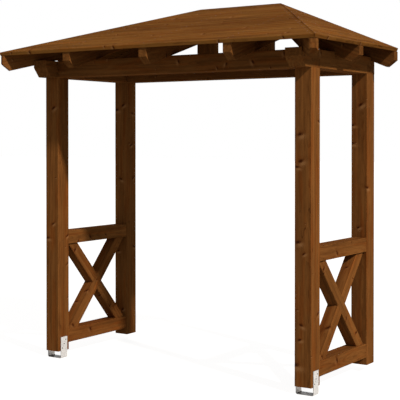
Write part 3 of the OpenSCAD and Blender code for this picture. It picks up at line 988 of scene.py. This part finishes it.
class CANOPY_OT_board_nails(bpy.types.Operator):
    """Nails the boards to the rafters"""

    bl_idname = "canopy.board_nails"
    bl_label = "Board nails"

    def execute(self, context):
        settings = context.scene.canopy_roof
        material = stain_and_shade_steel(context)
        step = middle_of("rafter_right").x
        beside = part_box("roof_front")[1].y - middle_of("side_rafter_right").y
        shape, faces = nail_head(settings.nail_radius)
        for name, slope in roof_slopes(settings.deck).items():
            lines = (-step, 0, step) if name == "front" else (beside,)
            places = nail_places(slope, board_edges(slope, settings.cover), lines)
            feet = slope.points(places[:, 0], places[:, 1], slope.thick)
            normal = np.array((0, 0, 1.0)) - slope.pitch * slope.inwards
            normal /= np.linalg.norm(normal)
            side = np.cross(slope.along, normal)
            turned = shape @ np.stack([slope.along, -side, normal])
            nails = [(foot + turned, faces) for foot in feet]
            mesh_piece(f"nails_{name}", nails, material)
        return {"FINISHED"}


class CANOPY_OT_post_shoes(bpy.types.Operator):
    """Gives the two post shoes their zinc coat"""

    bl_idname = "canopy.post_shoes"
    bl_label = "Post shoes"

    def execute(self, context):
        settings = context.scene.canopy_metal
        material = metal_material("hot_dip_zinc", settings, settings.zinc, settings.zinc_dull,
                                  metallic=0.35, worn_and_shaded=True)
        for node in METAL_NODES:
            dress(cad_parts[node], material)
        return {"FINISHED"}


class CANOPY_OT_shoe_screws(bpy.types.Operator):
    """Drives three screws through each leg of the post shoes; their dark heads are painted shade in the
    holes
    """

    bl_idname = "canopy.shoe_screws"
    bl_label = "Shoe screws"

    def execute(self, context):
        settings = context.scene.canopy_metal
        # The dark heads are painted shade in the shoes' holes
        material = stain_and_shade_steel(context)
        thick = settings.leg_thickness
        shape, faces = screw_head(settings.screw_radius, HEAD_SHARE * thick)
        turns = np.arange(SCREWS)
        for node in METAL_NODES:
            low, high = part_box(node)
            heads = []
            for outwards, leg in ((-1, low.x + thick), (1, high.x - thick)):
                feet = np.stack([
                    np.full(SCREWS, leg),
                    (low.y + high.y) / 2 + (turns - (SCREWS - 1) / 2) * settings.screw_step,
                    low.z + settings.screw_height + turns * settings.screw_rise], -1)
                turned = shape @ np.array(((0, outwards, 0), (0, 0, 1), (outwards, 0, 0)), float)
                heads += [(foot + turned, faces) for foot in feet]
            mesh_piece(node.replace("post_shoe", "shoe_screws"), heads, material)
        return {"FINISHED"}


class CANOPY_OT_stage(bpy.types.Operator):
    """Sets up the floor, the light and the camera"""

    bl_idname = "canopy.stage"
    bl_label = "Stage"

    def execute(self, context):
        scene = context.scene
        settings = scene.canopy_stage
        scene.view_settings.view_transform = "Standard"
        self.floor(settings)
        self.light(scene, settings)
        self.camera(scene, settings)
        return {"FINISHED"}

    def floor(self, settings):
        material, graph = new_material("pale_floor")
        matt = graph.node("ShaderNodeBsdfDiffuse", {"Color": (*[FLOOR_GREY] * 3, 1)})
        clear = graph.node("ShaderNodeBsdfTransparent")
        # Its tint is the inverse of the fill light's, so that the canopy's shadow comes out grey
        tint = [FLOOR_SHOWN / share for share in settings.sky]
        shown = graph.node("ShaderNodeBsdfDiffuse", {"Color": (*tint, 1)})
        white = graph.node("ShaderNodeEmission", {"Color": (1, 1, 1, 1), "Strength": FLOOR_WHITE})
        seen = graph.node("ShaderNodeAddShader", {0: shown.outputs[0], 1: white.outputs[0]})
        mix = graph.mix_shader(seen_directly(graph), matt, seen)
        below = graph.node("ShaderNodeNewGeometry").outputs["Backfacing"]
        mix = graph.mix_shader(below, mix, clear)
        graph.node("ShaderNodeOutputMaterial", {"Surface": mix.outputs[0]})
        half, level = settings.floor_half, CAD_BOX[0][2]
        corners = [(x * half, y * half, level) for x, y in ((-1, -1), (1, -1), (1, 1), (-1, 1))]
        floor = add_mesh("floor", corners, [(0, 1, 2, 3)], material)

    def lamp(self, name, towards, strength, angle):
        light = bpy.data.lights.new(name, "SUN")
        light.energy = strength
        light.angle = angle
        lamp = add_object(name, light)
        lamp.rotation_euler = Vector(towards).to_track_quat("Z", "Y").to_euler()
        return lamp

    def light(self, scene, settings):
        self.lamp("key", settings.lamp_towards, settings.lamp_strength, settings.lamp_angle)
        back = self.lamp("back", settings.back_towards, settings.back_strength, settings.back_angle)
        back.visible_glossy = False
        world = bpy.data.worlds.new("studio")
        scene.world = world
        world.use_nodes = True
        world.node_tree.nodes.clear()
        graph = Graph(world.node_tree)
        fill = graph.node("ShaderNodeBackground", {"Color": (*settings.sky, 1), "Strength": 1.0})
        white = graph.node("ShaderNodeBackground", {"Color": (1, 1, 1, 1), "Strength": 1.0})
        mix = graph.mix_shader(seen_directly(graph), fill, white)
        graph.node("ShaderNodeOutputWorld", {"Surface": mix.outputs[0]})

    def camera(self, scene, settings):
        lens = bpy.data.cameras.new("camera")
        lens.sensor_width = SENSOR
        lens.lens = settings.lens
        lens.shift_x, lens.shift_y = settings.shift
        lens.clip_end = SIGHT
        camera = add_object("camera", lens)
        camera.location = settings.eye
        camera.rotation_euler = (math.pi / 2 + settings.tilt, 0, settings.heading)
        scene.camera = camera


class CANOPY_PT_panel(bpy.types.Panel):
    """Sizes, finishes and steps of the canopy"""

    bl_idname = "CANOPY_PT_panel"
    bl_label = "Door canopy"
    bl_space_type = "VIEW_3D"
    bl_region_type = "UI"
    bl_category = "Canopy"

    def draw(self, context):
        for name, _ in SETTINGS:
            box = self.layout.box()
            settings = getattr(context.scene, name)
            for key in settings.bl_rna.properties.keys():
                if key not in ("rna_type", "name"):
                    box.prop(settings, key)
        for step in STEPS:
            self.layout.operator(step.bl_idname)


SETTINGS = (
    ("canopy_timber", CanopyTimberSettings),
    ("canopy_roof", CanopyRoofSettings),
    ("canopy_metal", CanopyMetalSettings),
    ("canopy_stage", CanopyStageSettings),
)
STEPS = (CANOPY_OT_groups, CANOPY_OT_timbers, CANOPY_OT_post_shoes, CANOPY_OT_shoe_screws,
         CANOPY_OT_roof_boards, CANOPY_OT_board_nails, CANOPY_OT_stage)


def register():
    for name, kind in SETTINGS:
        bpy.utils.register_class(kind)
        setattr(bpy.types.Scene, name, bpy.props.PointerProperty(type=kind))
    for kind in STEPS + (CANOPY_PT_panel,):
        bpy.utils.register_class(kind)


def unregister():
    for kind in reversed(STEPS + (CANOPY_PT_panel,)):
        bpy.utils.unregister_class(kind)
    for name, kind in reversed(SETTINGS):
        delattr(bpy.types.Scene, name)
        bpy.utils.unregister_class(kind)


def main():
    register()
    bpy.ops.canopy.groups()
    bpy.ops.canopy.timbers()
    bpy.ops.canopy.post_shoes()
    bpy.ops.canopy.shoe_screws()
    bpy.ops.canopy.roof_boards()
    bpy.ops.canopy.board_nails()
    bpy.ops.canopy.stage()


if __name__ == "__main__":
    main()
